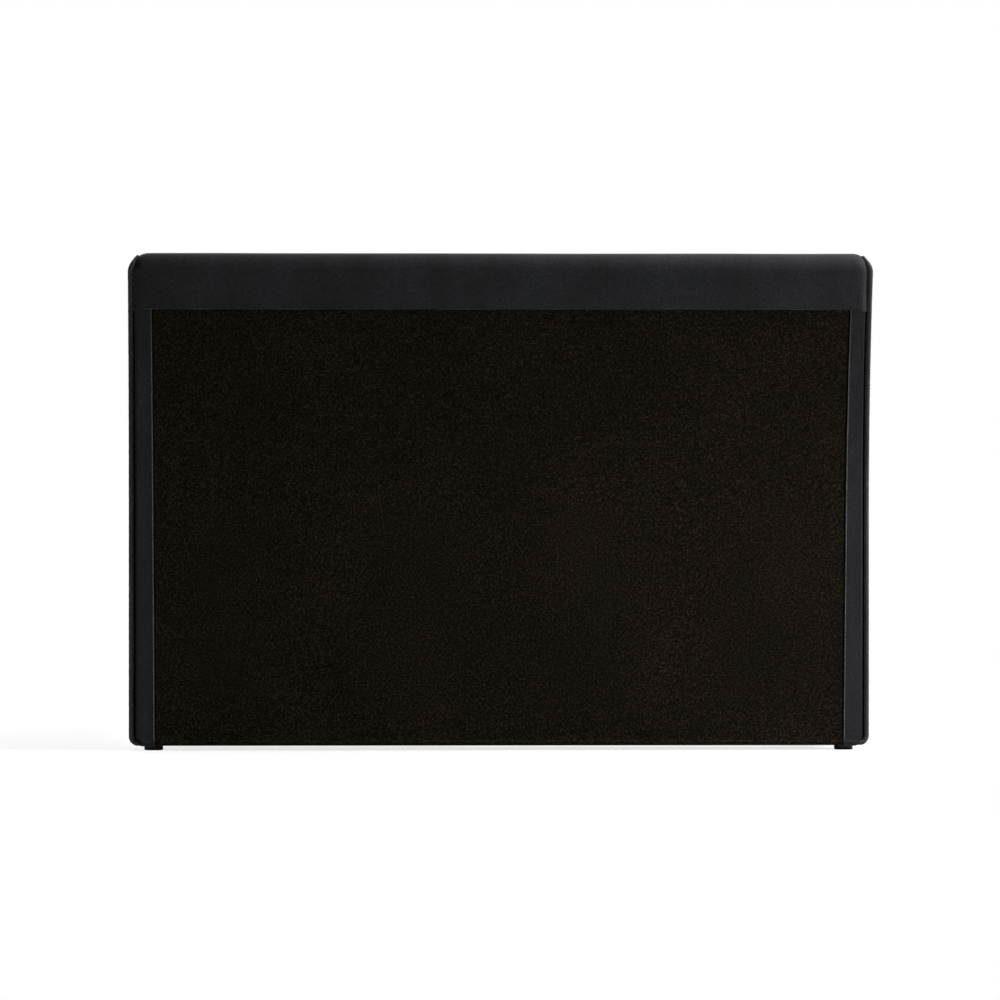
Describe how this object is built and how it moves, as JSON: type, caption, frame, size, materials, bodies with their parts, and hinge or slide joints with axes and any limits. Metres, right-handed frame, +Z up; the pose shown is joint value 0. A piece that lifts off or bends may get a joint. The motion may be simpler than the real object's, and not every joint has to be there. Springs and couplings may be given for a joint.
{
  "type": "sleigh bed",
  "caption": "Upholstered sleigh bed: padded headboard with a swept top and dust-covered back, padded footboard, side rails and a slatted base with levelling legs.",
  "frame": {"origin": "middle of the bed's overall box, on the floor", "axes": "+X across the bed, +Y along the bed towards the headboard, +Z up"},
  "size_m": [1.65, 2.442, 1.105],
  "materials": {
    "velvet": "matt black velvet with a short nap and a soft sheen",
    "piping": "black velvet sewn over cord",
    "dust_cover": "warm black woven lining cloth",
    "webbing": "woven black tape",
    "foam": "open-cell polyurethane foam",
    "plywood": "raw plywood",
    "pine": "planed softwood",
    "slat_wood": "planed birch",
    "stained_wood": "dark stained and lacquered",
    "black_plastic": "moulded black plastic",
    "black_steel": "black powder coat",
    "zinc_steel": "bright zinc plate",
    "brass": "turned brass"
  },
  "bodies": {
    "root": {"headboard_ribs": "plywood", "headboard_posts": "pine", "headboard_top_rail": "plywood", "headboard_battens": "pine", "headboard_front_board": "plywood", "headboard_foam": "foam", "headboard_end_foam": "foam", "headboard_cover": "velvet", "headboard_end_panel_left": "velvet", "headboard_end_panel_right": "velvet", "headboard_piping_left": "piping", "headboard_piping_right": "piping", "headboard_back_strip_left": "velvet", "headboard_back_strip_right": "velvet", "headboard_dust_cover": "dust_cover", "footboard_ribs": "plywood", "footboard_posts": "pine", "footboard_top_rail": "plywood", "footboard_battens": "pine", "footboard_front_board": "plywood", "footboard_back_board": "plywood", "footboard_foam": "foam", "footboard_end_foam": "foam", "footboard_cover": "velvet", "footboard_end_panel_left": "velvet", "footboard_end_panel_right": "velvet", "footboard_piping_left": "piping", "footboard_piping_right": "piping", "glide_feet": "black_plastic", "foot_screws": "zinc_steel", "rail_left_board": "pine", "rail_left_foam": "foam", "rail_left_cover": "velvet", "rail_left_ledger": "pine", "rail_right_board": "pine", "rail_right_foam": "foam", "rail_right_cover": "velvet", "rail_right_ledger": "pine", "ledger_screws": "zinc_steel", "corner_brackets": "black_steel", "bracket_bolts": "zinc_steel", "bracket_washers": "zinc_steel", "tee_nuts": "zinc_steel", "bracket_screws": "zinc_steel", "slats": "slat_wood", "slat_webbing": "webbing", "centre_beam": "pine", "beam_hangers": "black_steel", "hanger_screws": "zinc_steel", "centre_legs": "stained_wood", "leg_bolts": "zinc_steel", "leveller_sockets": "brass"},
    "pad_foot": {"leveller_pad_foot": "black_plastic"},
    "pad_middle": {"leveller_pad_middle": "black_plastic"},
    "pad_head": {"leveller_pad_head": "black_plastic"},
    "stud_foot": {"leveller_stud_foot": "zinc_steel"},
    "stud_middle": {"leveller_stud_middle": "zinc_steel"},
    "stud_head": {"leveller_stud_head": "zinc_steel"}
  },
  "joints": [
    {"name": "pad_foot_height", "type": "slide", "parent": "root", "child": "pad_foot", "axis": [0, 0, 1], "range_m": [-0.01, 0.005]},
    {"name": "stud_foot_turn", "type": "hinge", "parent": "pad_foot", "child": "stud_foot", "pos_m": [0, -0.67783, 0.02], "axis": [0, 0, 1], "range_deg": [-2880, 1440]},
    {"name": "pad_middle_height", "type": "slide", "parent": "root", "child": "pad_middle", "axis": [0, 0, 1], "range_m": [-0.01, 0.005]},
    {"name": "stud_middle_turn", "type": "hinge", "parent": "pad_middle", "child": "stud_middle", "pos_m": [0, -0.02783, 0.02], "axis": [0, 0, 1], "range_deg": [-2880, 1440]},
    {"name": "pad_head_height", "type": "slide", "parent": "root", "child": "pad_head", "axis": [0, 0, 1], "range_m": [-0.01, 0.005]},
    {"name": "stud_head_turn", "type": "hinge", "parent": "pad_head", "child": "stud_head", "pos_m": [0, 0.62217, 0.02], "axis": [0, 0, 1], "range_deg": [-2880, 1440]}
  ],
  "couplings": [
    {"joint": "stud_foot_turn", "follows": "pad_foot_height", "rad_per_m": 5026.5},
    {"joint": "stud_middle_turn", "follows": "pad_middle_height", "rad_per_m": 5026.5},
    {"joint": "stud_head_turn", "follows": "pad_head_height", "rad_per_m": 5026.5}
  ]
}
